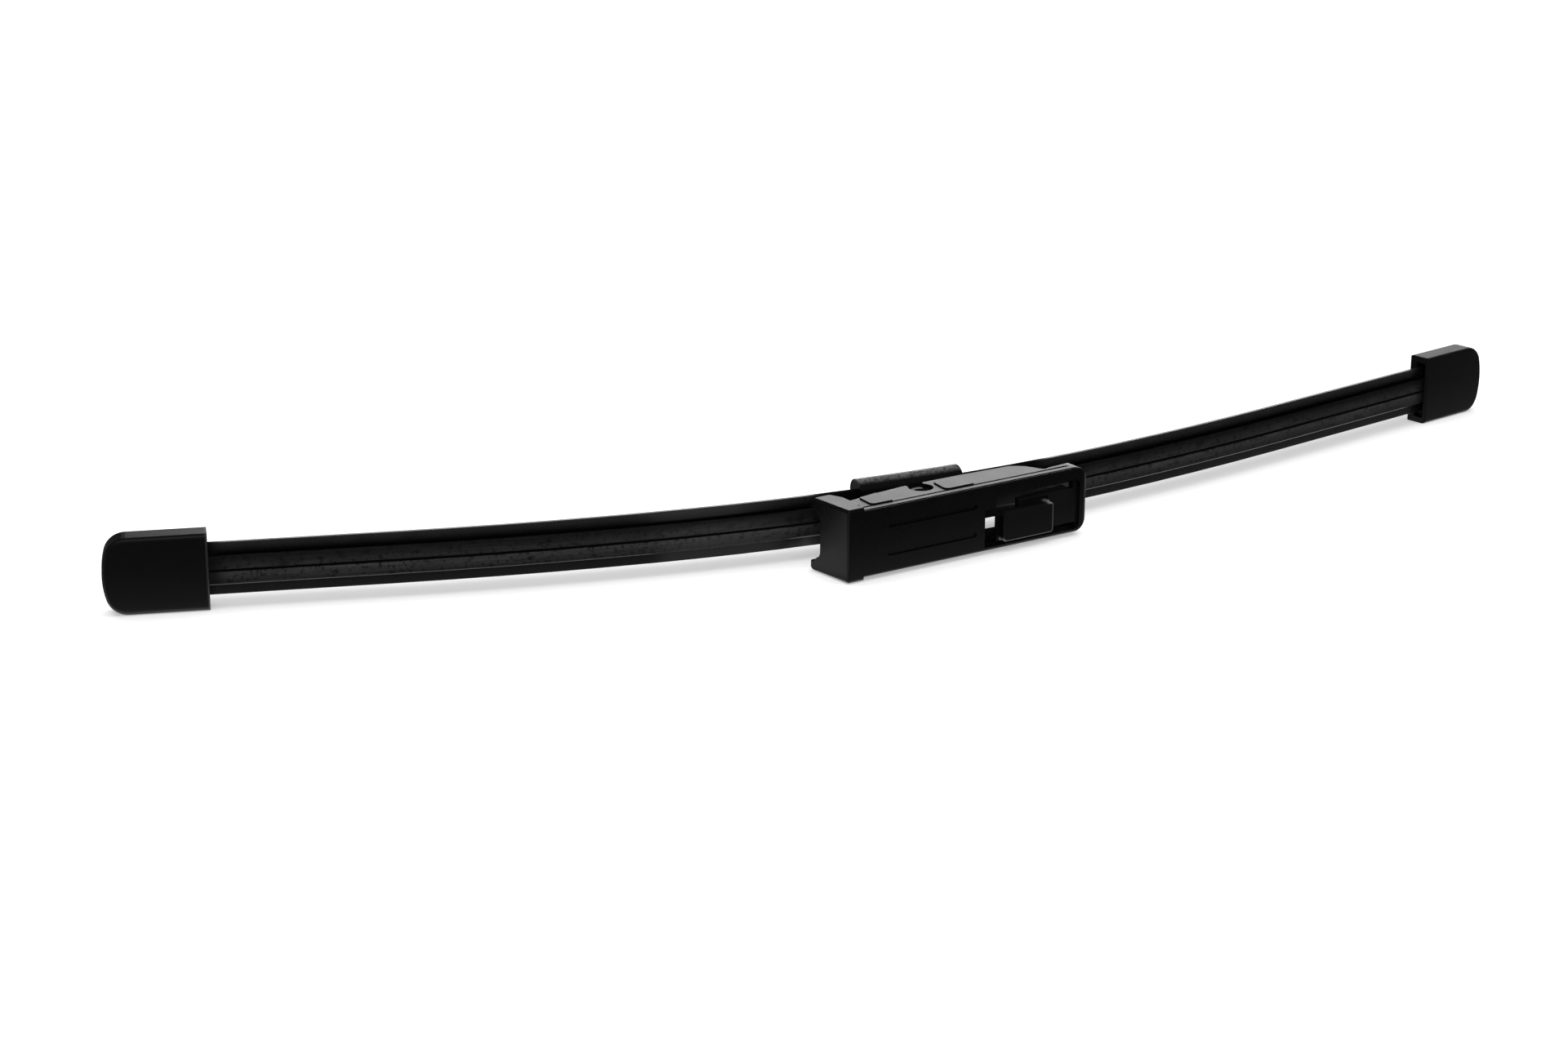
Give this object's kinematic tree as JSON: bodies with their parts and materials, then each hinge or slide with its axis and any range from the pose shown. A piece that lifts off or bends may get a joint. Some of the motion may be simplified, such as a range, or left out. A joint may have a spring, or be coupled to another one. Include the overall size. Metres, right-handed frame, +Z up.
{
  "type": "flat rear wiper blade",
  "caption": "Flat beam wiper blade for a rear window: rubber strip on spring rails, end caps, clamped bracket and a pivoting arm adaptor with a push-button latch.",
  "frame": {"origin": "middle of the bounding box in X and Y, on the surface the blade lies on", "axes": "+X along the blade towards the end on the latch's side, -Y towards the wiper arm, +Y towards the glass, +Z up across the blade's width; it lies on its long side edge, as pictured"},
  "size_m": [0.3246, 0.055, 0.0153],
  "materials": {
    "blade_rubber": "graphite-coated natural rubber, matt",
    "spring_steel": "thin black lacquer, satin",
    "cap_plastic": "fine-grained black moulding",
    "bracket_coating": "black powder coat, slightly rough",
    "pin_steel": "blackened steel, satin",
    "adaptor_plastic": "fine-grained black moulding"
  },
  "bodies": {
    "blade": {"wiper_rubber": "blade_rubber", "rail_upper": "spring_steel", "rail_lower": "spring_steel", "end_cap_left": "cap_plastic", "end_cap_right": "cap_plastic", "bracket": "bracket_coating", "pivot_pin": "pin_steel"},
    "adaptor": {"adaptor_body": "adaptor_plastic"},
    "latch": {"latch_button": "adaptor_plastic"}
  },
  "joints": [
    {"name": "adaptor_pivot", "type": "hinge", "parent": "blade", "child": "adaptor", "pos_m": [-0.00673, -0.01831, 0.00765], "axis": [0, 0, 1], "range_deg": [-13, 8]},
    {"name": "latch_press", "type": "hinge", "parent": "adaptor", "child": "latch", "pos_m": [0.02769, -0.01986, 0.00715], "axis": [0, 0, -1], "range_deg": [0, 6], "stiffness_Nm_per_rad": 0.3}
  ]
}
